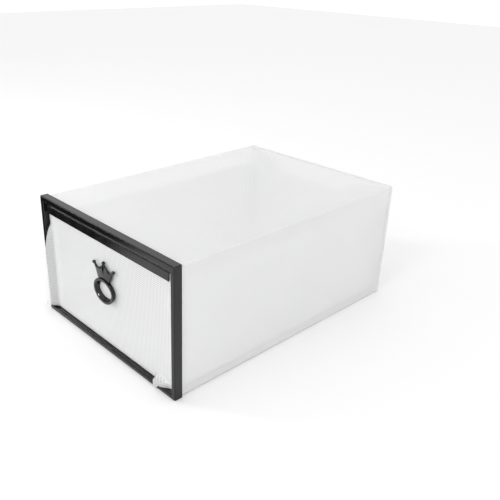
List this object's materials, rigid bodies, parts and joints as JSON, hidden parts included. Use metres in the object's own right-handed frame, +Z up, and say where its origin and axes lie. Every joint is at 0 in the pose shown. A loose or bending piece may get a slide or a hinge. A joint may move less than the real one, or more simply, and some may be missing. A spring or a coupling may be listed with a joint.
{
  "type": "shoe box",
  "caption": "Drawer-front shoe box: translucent folded sheet sleeve with a dark front frame, and a sliding folded drawer with an edge strip and a crown-and-ring pull.",
  "frame": {"origin": "centre of the box's footprint, on the surface it stands on", "axes": "+Z up, the drawer's front faces -Y and slides out along -Y, +X to the right when looking along +Y"},
  "size_m": [0.23, 0.3349, 0.14],
  "materials": {
    "sleeve_sheet": "translucent frosted polypropylene sheet with a fine embossed grain",
    "drawer_sheet": "translucent frosted polypropylene sheet with a fine embossed grain",
    "frame_moulding": "satin black moulded plastic",
    "strip_moulding": "satin black extruded plastic",
    "pull_moulding": "glossy black moulded plastic",
    "plate_moulding": "matte black moulded plastic"
  },
  "bodies": {
    "case": {"outer_sleeve": "sleeve_sheet", "front_frame": "frame_moulding"},
    "drawer": {"drawer_tray": "drawer_sheet", "drawer_top_strip": "strip_moulding", "crown_ring_pull": "pull_moulding", "pull_backing_plate": "plate_moulding"}
  },
  "joints": [
    {"name": "drawer_slide", "type": "slide", "parent": "case", "child": "drawer", "axis": [0, -1, 0], "range_m": [0, 0.28]}
  ]
}
